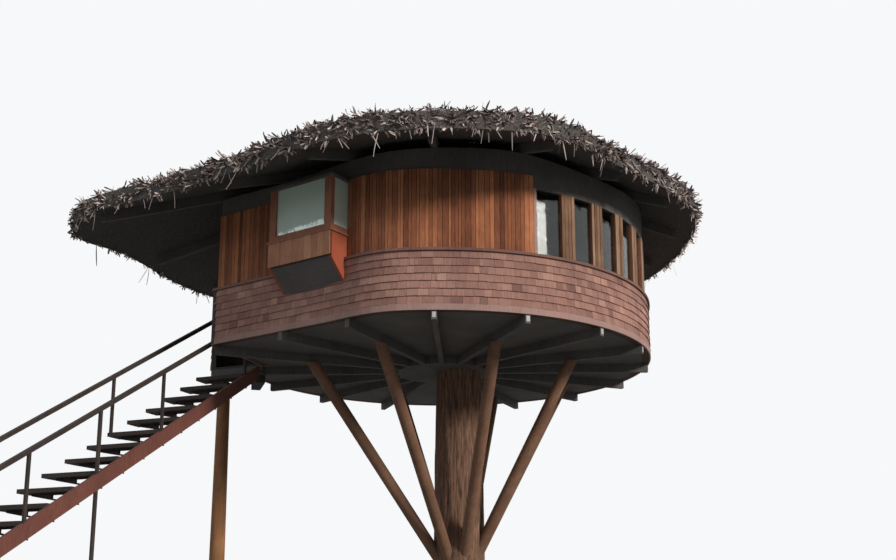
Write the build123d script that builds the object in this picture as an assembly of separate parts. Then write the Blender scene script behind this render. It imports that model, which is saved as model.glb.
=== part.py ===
"""Round tree house: a room on a circular floor, carried by a tree bole and fanned struts.

Millimetres, +Z up, +X to the right and +Y away from the viewer of the reference view.
The origin is the axis of the bole at ground level. The floor circle is centred a little
to the left of the bole, as on the real object.
"""
from build123d import *
import math
import os

# Heights above the ground
joist_bottom = 5430.0
joist_depth = 140.0
deck_thickness = 40.0
skirt_height = 900.0
cap_thickness = 30.0
wall_height = 1250.0

# Floor plan
floor_centre_x = -270.0
floor_radius = 3550.0
front_left_yaw = 32.5
front_left_set_in = 189.0
stair_side_set_in = 622.0
skirt_thickness = 120.0
wall_setback = 50.0
wall_thickness = 80.0
cap_overhang = 25.0
cap_inner_overhang = 5.0
corner_board_width = 60.0
corner_board_thickness = 25.0

# Bole of the tree
bole_radius_floor = 390.0
bole_radius_ground = 450.0
bole_radius_top = 210.0
root_flare_radius = 640.0
root_flare_height = 500.0
bole_stub_above_roof = 250.0
bole_clearance = 0.3

# Struts and joists
strut_count = 8
strut_radius = 95.0
strut_root_height = 1700.0
strut_reach = 2330.0
joist_count = 16
joist_width = 80.0
hub_radius = 800.0

# Windows
pane_step = 10.2
post_angle = 4.1
jamb_angle = 0.8
right_band_start = -65.3
right_band_panes = 7
back_band_start = 75.0
back_band_panes = 4
window_head_height = 200.0
glass_thickness = 14.0

# Bay window on the flat front left wall
bay_start = 1550.0
bay_width = 1235.0
bay_depth = 380.0
bay_board = 40.0
bay_post = 130.0
bay_sill_rise = 340.0
bay_sill_thickness = 35.0
bay_sill_overhang = 25.0
bay_rail_height = 80.0
bay_front_rise = 10.0
bay_rake_drop = 380.0
bay_head_drop = 50.0

# Doorway towards the landing
door_width = 760.0
door_height = 1950.0

# Roof: the eave is given by its overhang past the floor circle at each azimuth
thatch_peak_rise = 2000.0
eave_rise = 250.0
eave_tilt = 0.04
rafter_depth = 140.0
rafter_width = 90.0
rafter_count = 16
rafter_ring_radius = 760.0
rafter_ring_depth = 200.0
thatch_thickness = 260.0
rafter_end_set_in = 320.0
eave_overhang = [
    (-165, 2750), (-156, 2530), (-148, 1950), (-140, 1530), (-130, 1290), (-120, 1260),
    (-110, 1360), (-95, 1400), (-80, 1320), (-70, 1240), (-60, 980), (-50, 760), (-38, 700),
    (-25, 800), (-10, 880), (10, 900), (28, 1080), (45, 1300), (65, 1400), (90, 1420),
    (115, 1450), (140, 1560), (155, 1660), (163, 1730), (172, 1780), (180, 1900), (-172, 2260),
]

# Landing and stair
stair_heading = 70.6
stair_top_up = -1196.0
stair_width = 920.0
riser_count = 21
going = 453.0
tread_depth = 300.0
tread_thickness = 60.0
stringer_thickness = 60.0
stringer_depth = 205.0
stringer_top_below_nosing = 40.0
deck_gap = 60.0
landing_depth = 750.0
landing_beam_depth = 140.0
landing_beam_inset = 150.0
outer_beam_set_in = 57.0
parapet_thickness = 90.0
bracket_thickness = 60.0
bracket_depth = 170.0
bracket_tip_depth = 30.0
bracket_tip_set_in = 150.0
bracket_window_drop = 35.0
rail_height = 900.0
rail_size = 60.0
rail_post_size = 80.0
rail_post_lift = 50.0
near_post_treads = (1, 6, 12, 16, 20)
far_post_treads = (6, 12, 16, 20)
log_post_up = 349.0
log_post_radius_top = 110.0
log_post_radius_ground = 150.0
pole_radius = 30.0
pole_tread = 9

os.makedirs("parts", exist_ok=True)

# Levels worked out from the heights
deck_bottom = joist_bottom + joist_depth
deck_top = deck_bottom + deck_thickness
skirt_top = deck_bottom + skirt_height
wall_bottom = skirt_top + cap_thickness
wall_top = wall_bottom + wall_height
bay_sill_height = wall_bottom + bay_sill_rise
bay_sill_top = bay_sill_height + bay_sill_thickness
bay_glass_bottom = bay_sill_top + bay_rail_height
bay_front_bottom = skirt_top + bay_front_rise
bay_back_bottom = bay_front_bottom - bay_rake_drop
bay_head_height = wall_top - bay_head_drop
thatch_peak = wall_top + thatch_peak_rise
eave_height = wall_top + eave_rise
rise = deck_top / riser_count
beyond = 3 * floor_radius


def polar(angle, radius):
    """Point at an azimuth and distance from the centre of the floor."""
    a = math.radians(angle)
    return (floor_centre_x + radius * math.cos(a), radius * math.sin(a))


def shift(p, q, t=1.0):
    return (p[0] + t * q[0], p[1] + t * q[1])


def dot(p, q):
    return p[0] * q[0] + p[1] * q[1]


def azimuth(p):
    return math.degrees(math.atan2(p[1], p[0] - floor_centre_x))


def prism(face, bottom, top):
    """Upright solid over a plan face."""
    return extrude(Pos(0, 0, bottom) * face, top - bottom, dir=(0, 0, 1))


def plan_polygon(points):
    lines = [Line(points[i - 1], points[i]) for i in range(len(points))]
    return make_face(Curve() + lines)


def save(name, shape):
    """Write one named piece, or several like pieces that don't touch."""
    solids = []
    for item in shape if isinstance(shape, list) else [shape]:
        solids += item.solids()
    part = solids[0] if len(solids) == 1 else Compound(solids)
    export_step(part, "parts/" + name + ".step")


# Plan directions of the stair: up its slope, and across it to the far side
up = (math.cos(math.radians(stair_heading)), math.sin(math.radians(stair_heading)))
across = (-up[1], up[0])
flat_dir = (math.cos(math.radians(front_left_yaw)), -math.sin(math.radians(front_left_yaw)))
flat_out = (flat_dir[1], -flat_dir[0])

# Corners of the room: left corner, start of the round wall, doorway corners
floor_centre = (floor_centre_x, 0.0)
corner_c = shift(shift(floor_centre, up, stair_top_up), across, floor_radius - stair_side_set_in)
near_edge = shift(corner_c, across, stringer_thickness + deck_gap)
stair_top_far = shift(near_edge, across, stair_width)
flat_foot = shift(floor_centre, flat_out, floor_radius - front_left_set_in)
corner_a = shift(corner_c, up, dot(shift(flat_foot, corner_c, -1.0), flat_out) / dot(up, flat_out))
relative_a = (corner_a[0] - floor_centre_x, corner_a[1])
half = -dot(relative_a, flat_dir)
flat_length = half + math.sqrt(half ** 2 - dot(relative_a, relative_a) + floor_radius ** 2)
corner_t = shift(corner_a, flat_dir, flat_length)
landing_back = shift(stair_top_far, up, landing_depth)
relative_b = (landing_back[0] - floor_centre_x, landing_back[1])
half_b = dot(relative_b, across)
run_b = half_b - math.sqrt(half_b ** 2 - dot(relative_b, relative_b) + floor_radius ** 2)
corner_e = shift(landing_back, across, -run_b)
angle_a = azimuth(corner_a)
angle_t = azimuth(corner_t)
angle_c = azimuth(corner_c)
angle_e = azimuth(corner_e)

# Outline of the room, walls included
arc_sweep = (angle_e - angle_t) % 360.0
arc = CenterArc((floor_centre_x, 0), floor_radius, angle_t, arc_sweep)
room_outline = make_face(
    Curve() + [arc, Line(corner_e, corner_c), Line(corner_c, corner_a), Line(corner_a, corner_t)]
)


def inset(distance):
    """Room outline moved inwards (or outwards when negative)."""
    return offset(room_outline, -distance, kind=Kind.INTERSECTION)


def ring(outer_inset, inner_inset, bottom, top):
    return prism(inset(outer_inset), bottom, top) - prism(inset(inner_inset), bottom, top)


def sector(start, end, bottom, top):
    """Wedge about the centre of the floor between two azimuths."""
    sweep = (end - start) % 360.0
    steps = max(1, math.ceil(sweep / 60.0))
    points = [(floor_centre_x, 0.0)]
    points += [polar(start + sweep * i / steps, beyond) for i in range(steps + 1)]
    return prism(plan_polygon(points), bottom, top)


def roof_body(drop):
    """Everything under the roof surface lowered by a drop: straight lines from the peak
    to the eave, carried on past it, over a base well below the eave."""
    past = 1.25
    points = []
    for angle, overhang in eave_overhang:
        x, y = polar(angle, past * (floor_radius + overhang))
        eave = eave_height + eave_tilt * (floor_centre_x + (x - floor_centre_x) / past)
        points.append((x, y, thatch_peak - past * (thatch_peak - eave) - drop))
    base = make_face(Curve() + [Spline(points, periodic=True)])
    return loft([base, Vertex(floor_centre_x, 0, thatch_peak - drop)], ruled=True)


def eave_face(set_in):
    points = [polar(angle, floor_radius + overhang - set_in) for angle, overhang in eave_overhang]
    return make_face(Curve() + [Spline(points, periodic=True)])


# Bole: root flare, taper to the floor, taper to the stub above the roof
bole_top = thatch_peak + bole_stub_above_roof


def bole_solid(extra):
    """The bole, made thicker by a little where something has to clear it."""
    ground = bole_radius_ground + extra
    waist = bole_radius_floor + extra
    top = bole_radius_top + extra
    flare = root_flare_radius + extra
    profile = make_face(Curve() + [
        Line((0, 0), (flare, 0)),
        Spline((flare, 0), (ground, root_flare_height), tangents=[(-0.35, 1), (-0.03, 1)]),
        Line((ground, root_flare_height), (waist, joist_bottom)),
        Line((waist, joist_bottom), (top, bole_top)),
        Line((top, bole_top), (0, bole_top)),
        Line((0, bole_top), (0, 0)),
    ])
    return revolve(Plane.XZ * profile, Axis.Z)


bole = bole_solid(0)
bole_hole = bole_solid(bole_clearance)
save("tree_bole", bole)

# Struts: one to every second joist, cut to seat on the bole and under the joists
joist_step = 360.0 / joist_count
strut_step = 360.0 / strut_count
under_joists = Box(
    beyond, beyond, joist_bottom, align=(Align.CENTER, Align.CENTER, Align.MIN)
)
struts = []
for i in range(strut_count):
    head = polar(joist_step + strut_step * i, strut_reach)
    root = Vector(0, 0, strut_root_height)
    top = Vector(head[0], head[1], joist_bottom)
    along = (top - root).normalized()
    length = (top - root).length + 2 * strut_radius
    strut = extrude(Plane(origin=root, z_dir=along) * Circle(strut_radius), length)
    struts += ((strut - bole_hole) & under_joists).solids()
save("struts", struts)

# Joists: radial, from the hub frame to the outside of the walls
joist_top = joist_bottom + joist_depth
hub = Pos(floor_centre_x, 0, joist_bottom) * Cylinder(
    hub_radius, joist_depth, align=(Align.CENTER, Align.CENTER, Align.MIN)
)
save("joist_hub", hub - bole_hole)
under_room = prism(room_outline, joist_bottom, joist_top)
joists = []
for i in range(joist_count):
    bar = Box(beyond, joist_width, joist_depth, align=(Align.MIN, Align.CENTER, Align.MIN))
    placed = Pos(floor_centre_x, 0, joist_bottom) * Rot(0, 0, joist_step * i) * bar
    joists += ((placed & under_room) - hub).solids()
save("radial_joists", joists)

# Floor deck inside the skirt, with a tongue through the doorway to the landing
door_mid = ((corner_c[0] + corner_e[0]) / 2, (corner_c[1] + corner_e[1]) / 2)
door_span = math.dist(corner_c, corner_e)
door_dir = ((corner_e[0] - corner_c[0]) / door_span, (corner_e[1] - corner_c[1]) / door_span)
door_angle = math.degrees(math.atan2(door_dir[1], door_dir[0]))


def doorway(width, bottom, top):
    block = Box(width, 10 * skirt_thickness, top - bottom,
                align=(Align.CENTER, Align.CENTER, Align.MIN))
    return Pos(door_mid[0], door_mid[1], bottom) * Rot(0, 0, door_angle) * block


room_prism = prism(room_outline, deck_bottom, deck_top)
deck = prism(inset(skirt_thickness), deck_bottom, deck_top)
deck += doorway(door_width, deck_bottom, deck_top) & room_prism
save("floor_deck", deck - bole_hole)

# Skirt walls under the cap, split at the corners of the room
skirt = ring(0, skirt_thickness, deck_bottom, skirt_top)
band_right_end = right_band_start + pane_step * right_band_panes
band_back_end = back_band_start + pane_step * back_band_panes
skirt_parts = [
    ("skirt_front_left", angle_a, angle_t),
    ("skirt_front", angle_t, right_band_start),
    ("skirt_right", right_band_start, band_right_end),
    ("skirt_back_right", band_right_end, back_band_start),
    ("skirt_back_left", back_band_start, angle_e),
    ("skirt_stair_side", angle_c, angle_a),
]
for name, start, end in skirt_parts:
    save(name, skirt & sector(start, end, deck_bottom, skirt_top))

# Board on the outer corner beside the stair
board = Box(corner_board_width, corner_board_thickness, skirt_height,
            align=(Align.MIN, Align.MAX, Align.MIN))
save("corner_board", Pos(corner_a[0], corner_a[1], deck_bottom) * Rot(0, 0, -front_left_yaw) * board)

# Cap over the skirt, open at the doorway
cap = ring(-cap_overhang, skirt_thickness + cap_inner_overhang, skirt_top, wall_bottom)
cap = cap - sector(angle_e, angle_c, skirt_top, wall_bottom)

# Upper plank walls
upper_inner = wall_setback + wall_thickness
upper = ring(wall_setback, upper_inner, wall_bottom, wall_top)
bay_opening_width = bay_width - 2 * bay_board
bay_mid = shift(corner_a, flat_dir, bay_start + bay_width / 2)


def on_flat_wall(along, outwards, height):
    """Location on the flat wall: along it, out of its face, and up."""
    p = shift(shift(corner_a, flat_dir, along), flat_out, outwards)
    return Pos(p[0], p[1], height) * Rot(0, 0, -front_left_yaw)


bay_notch = on_flat_wall(bay_start + bay_width / 2, bay_depth / 2, skirt_top) * Box(
    bay_width, bay_depth, cap_thickness, align=(Align.CENTER, Align.CENTER, Align.MIN)
)
save("skirt_cap", cap - bay_notch)
bay_hole = on_flat_wall(bay_start + bay_width / 2, 0, bay_sill_top) * Box(
    bay_opening_width, 6 * wall_thickness, bay_head_height - bay_sill_top,
    align=(Align.CENTER, Align.CENTER, Align.MIN)
)
front_left_wall = upper & sector(angle_a, angle_t, wall_bottom, wall_top)
save("plank_wall_front_left", front_left_wall - bay_hole)
wall_parts = [
    ("plank_wall_front", angle_t, right_band_start),
    ("plank_wall_back_right", band_right_end, back_band_start),
    ("plank_wall_back_left", band_back_end, angle_e),
    ("plank_wall_stair_side", angle_c, angle_a),
]
for name, start, end in wall_parts:
    save(name, upper & sector(start, end, wall_bottom, wall_top))

# Doorway wall: a jamb on each side and a lintel across the top
door_wall = ring(0, skirt_thickness, deck_bottom, wall_top)
door_wall = door_wall & sector(angle_e, angle_c, deck_bottom, wall_top)
door_top = deck_top + door_height
below_top = doorway(beyond, deck_bottom, door_top)
jambs = (door_wall & below_top) - doorway(door_width, deck_bottom, door_top)
save("door_jambs", jambs)
save("door_lintel", door_wall - below_top)


# Window bands: posts at every step, panes between them, a head board above
def window_band(start, panes):
    end = start + pane_step * panes
    head_bottom = wall_top - window_head_height
    half_post = post_angle / 2
    posts = []
    glass = []
    glass_inset = wall_setback + (wall_thickness - glass_thickness) / 2
    pane_ring = ring(glass_inset, glass_inset + glass_thickness, wall_bottom, head_bottom)
    low = ring(wall_setback, upper_inner, wall_bottom, head_bottom)
    for i in range(panes + 1):
        first = end - jamb_angle if i == panes else max(start, start + pane_step * i - half_post)
        last = start + jamb_angle if i == 0 else min(end, start + pane_step * i + half_post)
        posts += (low & sector(first, last, wall_bottom, head_bottom)).solids()
        if i < panes:
            stop = end - jamb_angle if i == panes - 1 else start + pane_step * (i + 1) - half_post
            glass += (pane_ring & sector(last, stop, wall_bottom, head_bottom)).solids()
    head = upper & sector(start, end, head_bottom, wall_top)
    return posts, glass, list(head.solids())


right_band = window_band(right_band_start, right_band_panes)
back_band = window_band(back_band_start, back_band_panes)
save("window_posts", right_band[0] + back_band[0])
save("window_glass", right_band[1] + back_band[1])
save("window_heads", right_band[2] + back_band[2])

# Bay window on the flat wall: lower box with a raking bottom, posts, glass and head board
def bay_piece(start, end, points):
    """Extrude an outwards/up outline along the flat wall from start to end."""
    origin = shift(corner_a, flat_dir, start)
    plane = Plane(origin=(origin[0], origin[1], 0), x_dir=(flat_out[0], flat_out[1], 0),
                  z_dir=(-flat_dir[0], -flat_dir[1], 0))
    return extrude(plane * plan_polygon(points), -(end - start))


def rectangle(x0, x1, y0, y1):
    return [(x0, y0), (x1, y0), (x1, y1), (x0, y1)]


bay_end = bay_start + bay_width
bay_back = -wall_setback
bay_inner = bay_depth - bay_board
bay_rake = (bay_front_bottom - bay_back_bottom) / bay_depth
bay_inner_bottom = bay_back_bottom + bay_rake * bay_inner
side_outline = [
    (0, bay_back_bottom), (bay_inner, bay_inner_bottom), (bay_inner, bay_sill_height),
    (bay_back, bay_sill_height), (bay_back, wall_bottom), (0, wall_bottom),
]
underside_outline = [
    (0, bay_back_bottom), (bay_inner, bay_inner_bottom),
    (bay_inner, bay_inner_bottom + bay_board), (0, bay_back_bottom + bay_board),
]
save("bay_sides", [
    bay_piece(bay_start, bay_start + bay_board, side_outline),
    bay_piece(bay_end - bay_board, bay_end, side_outline),
])
save("bay_front_panel", bay_piece(bay_start, bay_end, rectangle(
    bay_inner, bay_depth, bay_front_bottom, bay_sill_height)))
save("bay_underside", bay_piece(bay_start + bay_board, bay_end - bay_board, underside_outline))
sill_board = bay_piece(bay_start - bay_sill_overhang, bay_end + bay_sill_overhang, rectangle(
    bay_back, bay_depth + bay_sill_overhang, bay_sill_height, bay_sill_top))
front_rail = bay_piece(bay_start + bay_post, bay_end - bay_post, rectangle(
    bay_depth - 2 * bay_board, bay_depth, bay_sill_top, bay_glass_bottom))
side_rail = rectangle(bay_back, bay_depth - 2 * bay_board, bay_sill_top, bay_glass_bottom)
save("bay_sill", sill_board + front_rail + bay_piece(bay_start, bay_start + bay_board, side_rail)
     + bay_piece(bay_end - bay_board, bay_end, side_rail))
save("bay_head", bay_piece(bay_start - bay_sill_overhang, bay_end + bay_sill_overhang, rectangle(
    bay_back, bay_depth + bay_sill_overhang, bay_head_height, bay_head_height + bay_board)))
post_outline = rectangle(bay_depth - 2 * bay_board, bay_depth, bay_sill_top, bay_head_height)
save("bay_posts", [
    bay_piece(bay_start, bay_start + bay_post, post_outline),
    bay_piece(bay_end - bay_post, bay_end, post_outline),
])
glass_middle = bay_depth - bay_board
front_glass = rectangle(glass_middle - glass_thickness / 2, glass_middle + glass_thickness / 2,
                        bay_glass_bottom, bay_head_height)
side_glass = rectangle(bay_back, bay_depth - 2 * bay_board, bay_glass_bottom, bay_head_height)
glass_set_in = (bay_board - glass_thickness) / 2
save("bay_glass", [
    bay_piece(bay_start + bay_post, bay_end - bay_post, front_glass),
    bay_piece(bay_start + glass_set_in, bay_start + glass_set_in + glass_thickness, side_glass),
    bay_piece(bay_end - glass_set_in - glass_thickness, bay_end - glass_set_in, side_glass),
])

# Wall plate: its bevelled top follows the slope of the rafters
rafter_rise = rafter_depth * math.hypot(1.0, (thatch_peak - eave_height) / (1.3 * floor_radius))
below_roof = roof_body(0)
below_thatch = roof_body(thatch_thickness)
below_rafters = roof_body(thatch_thickness + rafter_rise)
save("wall_plate", ring(wall_setback, upper_inner, wall_top, thatch_peak) & below_rafters)

# Roof: rafters round a ring on the bole, under one mass of thatch
ring_core = Pos(floor_centre_x, 0, joist_bottom) * Cylinder(
    rafter_ring_radius, thatch_peak - joist_bottom, align=(Align.CENTER, Align.CENTER, Align.MIN)
)
below_ring = roof_body(thatch_thickness + rafter_ring_depth)
save("rafter_ring", ((ring_core & below_thatch) - below_ring) - bole_hole)
rafter_layer = below_thatch - below_rafters
rafter_plan = prism(eave_face(rafter_end_set_in), joist_bottom, thatch_peak)
rafters = []
for i in range(rafter_count):
    bar = Box(beyond, rafter_width, thatch_peak - joist_bottom,
              align=(Align.MIN, Align.CENTER, Align.MIN))
    placed = Pos(floor_centre_x, 0, joist_bottom) * Rot(0, 0, 360.0 / rafter_count * i) * bar
    rafters += (((placed & rafter_plan) - ring_core) & rafter_layer).solids()
save("rafters", rafters)
thatch = (prism(eave_face(0), joist_bottom, bole_top) & below_roof) - below_thatch
save("thatch_roof", thatch - bole_hole)

# Landing outside the doorway
landing = plan_polygon([corner_c, stair_top_far, landing_back, corner_e])
save("landing_deck", prism(landing, deck_bottom, deck_top))
stair_frame = Pos(near_edge[0], near_edge[1], 0) * Rot(0, 0, stair_heading + 90)


def stair_box(x0, x1, y0, y1, z0, z1):
    """Box in the stair frame: x across to the far side, y down the flight, z up."""
    block = Pos(x0, y0, z0) * Box(x1 - x0, y1 - y0, z1 - z0,
                                  align=(Align.MIN, Align.MIN, Align.MIN))
    return stair_frame * block


landing_under = prism(landing, joist_bottom, joist_top)
landing_bars = []
bar_gap = (landing_depth - joist_width) / 2
for i in range(3):
    back = -i * bar_gap
    bar = stair_box(-stair_width, 2 * stair_width, back - joist_width, back,
                    joist_bottom, joist_top)
    landing_bars += (bar & landing_under).solids()
save("landing_joists", landing_bars)
beam_bottom = joist_bottom - landing_beam_depth
beam_place = stair_width - outer_beam_set_in
outer_beam = stair_box(beam_place - joist_width / 2, beam_place + joist_width / 2,
                       -landing_depth, 0, beam_bottom, joist_bottom)
inner_beam = Pos(door_mid[0], door_mid[1], beam_bottom) * Rot(0, 0, door_angle) * Box(
    door_span - 2 * landing_beam_inset, 2 * joist_width, landing_beam_depth,
    align=(Align.CENTER, Align.CENTER, Align.MIN)
)
save("landing_beams", [outer_beam, inner_beam])
log_post_place = shift(shift(near_edge, across, beam_place), up, log_post_up)
log_post = Pos(log_post_place[0], log_post_place[1], 0) * Cone(
    log_post_radius_ground, log_post_radius_top, beam_bottom,
    align=(Align.CENTER, Align.CENTER, Align.MIN)
)
save("log_post", log_post)
side_parapet = stair_box(stair_width - parapet_thickness, stair_width,
                         -landing_depth, 0, deck_top, skirt_top)
back_parapet = stair_box(-stair_width, stair_width - parapet_thickness,
                         -landing_depth, -landing_depth + parapet_thickness, deck_top, skirt_top)
landing_prism = prism(landing, deck_top, skirt_top)
save("landing_parapet", (side_parapet + back_parapet) & landing_prism)

# Stair: one deep stringer on the near side, treads on tapered brackets
pitch = rise / going
stair_cos = math.cos(math.atan(pitch))
flight_length = (riser_count - 1) * going


def nosing(y):
    """Height of the nosing line at a distance down the flight."""
    return deck_top - y * pitch


def flight_piece(x0, x1, points):
    """Extrude a side outline of the flight (distance down, height) across it."""
    start = shift(near_edge, across, x0)
    plane = Plane(origin=(start[0], start[1], 0), x_dir=(-up[0], -up[1], 0),
                  z_dir=(across[0], across[1], 0))
    return extrude(plane * plan_polygon(points), x1 - x0)


top_drop = stringer_top_below_nosing
bottom_drop = top_drop + stringer_depth / stair_cos
foot_end = flight_length + going / 4
stringer_outline = [
    (0, nosing(0) - top_drop), (foot_end, nosing(foot_end) - top_drop), (foot_end, 0),
    ((deck_top - bottom_drop) / pitch, 0), (0, nosing(0) - bottom_drop),
]
stringer = flight_piece(-stringer_thickness, 0, stringer_outline)
save("stringer", stringer)
treads = []
brackets = []
for k in range(1, riser_count):
    front = k * going
    top = nosing(front)
    treads.append(stair_box(0, stair_width, front - tread_depth, front, top - tread_thickness, top))
    seat = top - tread_thickness
    tip = stair_width - bracket_tip_set_in
    outline = plan_polygon([(0, seat), (tip, seat), (tip, seat - bracket_tip_depth),
                            (0, seat - bracket_depth)])
    window = plan_polygon([(0.16 * tip, seat - bracket_window_drop), (0.44 * tip, seat - bracket_window_drop),
                           (0.24 * tip, seat - 0.62 * bracket_depth)])
    middle = shift(near_edge, up, tread_depth / 2 - front)
    plane = Plane(origin=(middle[0], middle[1], 0), x_dir=(across[0], across[1], 0),
                  z_dir=(up[0], up[1], 0))
    brackets.append(extrude(plane * (outline - window), bracket_thickness / 2, both=True))
save("treads", treads)
save("tread_brackets", brackets)

# Handrails on posts, near side on the stringer, far side on the tread ends
rail_drop = rail_size / stair_cos


def handrail(x0, top_end):
    points = [(top_end, nosing(top_end) + rail_height),
              (flight_length, nosing(flight_length) + rail_height),
              (flight_length, nosing(flight_length) + rail_height - rail_drop),
              (top_end, nosing(top_end) + rail_height - rail_drop)]
    return flight_piece(x0, x0 + rail_size, points)


near_rail = handrail(-stringer_thickness, going / 4)
far_rail = handrail(stair_width - rail_size, 0)
save("handrails", [near_rail, far_rail])
near_posts = []
for k in near_post_treads:
    front = k * going
    post = stair_box(-stringer_thickness, 0, front - rail_post_size, front,
                     nosing(front) - bottom_drop + rail_post_lift, nosing(front) + rail_height)
    pieces = (post - stringer - near_rail).solids()
    near_posts.append(max(pieces, key=lambda s: s.volume))
far_posts = []
for k in far_post_treads:
    front = k * going
    post = stair_box(stair_width - rail_size, stair_width, front - rail_post_size, front,
                     nosing(front), nosing(front) + rail_height)
    pieces = (post - far_rail).solids()
    far_posts.append(max(pieces, key=lambda s: s.volume))
save("rail_posts", near_posts + far_posts)
pole_down = pole_tread * going
pole_top = nosing(pole_down) + rail_height - rail_drop / 2
pole = stair_frame * Pos(-stringer_thickness / 2, pole_down, 0) * Cylinder(
    pole_radius, pole_top, align=(Align.CENTER, Align.CENTER, Align.MIN)
)
pole_pieces = (pole - stringer - near_rail).solids()
save("stair_pole", sorted(pole_pieces, key=lambda s: s.volume)[-2:])
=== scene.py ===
# %% [markdown]
# A round tree house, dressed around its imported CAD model.
# The walls, floor, struts, stair and roof come from the frame, at their real size, and stay
# where they are. This lesson adds what a builder would nail on or let weather: shingles,
# planks, a fascia, bark, and the dry leaves of the roof. It ends with materials, light and camera.

# %% Start
import bisect
import bpy
import math
import random
import numpy as np
from mathutils import Matrix, Vector, noise


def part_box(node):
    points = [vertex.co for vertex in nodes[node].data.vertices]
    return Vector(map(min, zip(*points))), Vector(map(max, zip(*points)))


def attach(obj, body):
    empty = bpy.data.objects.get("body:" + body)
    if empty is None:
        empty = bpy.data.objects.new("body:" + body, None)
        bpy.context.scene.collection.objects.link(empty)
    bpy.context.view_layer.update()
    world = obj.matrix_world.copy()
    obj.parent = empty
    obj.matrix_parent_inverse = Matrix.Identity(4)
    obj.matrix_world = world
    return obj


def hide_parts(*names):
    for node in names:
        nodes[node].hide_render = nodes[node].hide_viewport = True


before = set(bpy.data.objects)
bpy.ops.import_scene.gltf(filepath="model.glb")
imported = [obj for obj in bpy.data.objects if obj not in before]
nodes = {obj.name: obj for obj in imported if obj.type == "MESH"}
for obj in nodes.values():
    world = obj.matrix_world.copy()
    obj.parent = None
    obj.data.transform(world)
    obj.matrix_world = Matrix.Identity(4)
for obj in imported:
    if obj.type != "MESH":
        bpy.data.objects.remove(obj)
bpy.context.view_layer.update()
print("frame holds", len(nodes), "nodes")

# %% [markdown]
# Everything round on this house turns about the middle of its floor, which is not the bole.
# The frame says where that is: the right skirt reaches furthest right at the floor's radius,
# and the front skirt reaches furthest forward at the same radius. The corners of the flat walls
# are read from the frame too. The stair has its own two directions, up the flight and across it.

# %% Plan of the room
floor_radius = -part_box("skirt_front")[0].y
centre_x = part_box("skirt_right")[1].x - floor_radius
skirt_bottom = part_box("skirt_front")[0].z
skirt_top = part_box("skirt_front")[1].z
wall_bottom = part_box("plank_wall_front")[0].z
wall_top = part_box("plank_wall_front")[1].z
wall_setback = 0.05
stair_heading = math.radians(70.6)
stair_up = Vector((math.cos(stair_heading), math.sin(stair_heading)))
stair_across = Vector((-stair_up.y, stair_up.x))
along_stair_wall = (-0.332, 0.943, 0.0)


def furthest(node, direction):
    """Plan point of a node that reaches furthest in a direction."""
    axis = Vector(direction)
    point = max((v.co for v in nodes[node].data.vertices), key=lambda co: co.dot(axis))
    return Vector((point.x, point.y))


def polar(degrees, radius, z=0.0):
    """Point at an azimuth and distance from the middle of the floor."""
    angle = math.radians(degrees)
    return Vector((centre_x + radius * math.cos(angle), radius * math.sin(angle), z))


def azimuth(point):
    return math.degrees(math.atan2(point[1], point[0] - centre_x))


def reach(point):
    """Distance from the middle of the floor, in plan."""
    return math.hypot(point[0] - centre_x, point[1])


corner_a = furthest("skirt_front_left", (-1.0, 0.0, 0.0))
corner_t = furthest("skirt_front_left", (0.0, -1.0, 0.0))
corner_c = furthest("skirt_stair_side", along_stair_wall)
corner_e = furthest("skirt_back_left", (-1.0, 0.0, 0.0))
round_start = azimuth(corner_t)
round_end = azimuth(corner_e) % 360.0
print("floor radius", round(floor_radius, 3), "corners", corner_a[:], corner_t[:], corner_c[:])

# %% [markdown]
# A wall that is partly flat and partly round is easiest to cover along its run: a distance
# along the wall, a distance out of it, and a height. A run is a small class, so shingles and
# planks share one way of being set out.


# %% Runs of wall
class FlatRun:
    """A straight stretch of wall between two plan points, outside on the right hand."""

    def __init__(self, start, end):
        self.start = Vector((start[0], start[1]))
        step = Vector((end[0], end[1])) - self.start
        self.length = step.length
        self.along = step.normalized()
        self.out = Vector((self.along.y, -self.along.x))

    def place(self, run, out, z):
        p = self.start + self.along * run + self.out * out
        return Vector((p.x, p.y, z))


class RoundRun:
    """A stretch of the round wall between two azimuths, going anticlockwise."""

    def __init__(self, start, end, radius):
        self.start = start
        self.radius = radius
        self.length = math.radians((end - start) % 360.0) * radius

    def place(self, run, out, z):
        return polar(self.start + math.degrees(run / self.radius), self.radius + out, z)


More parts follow.
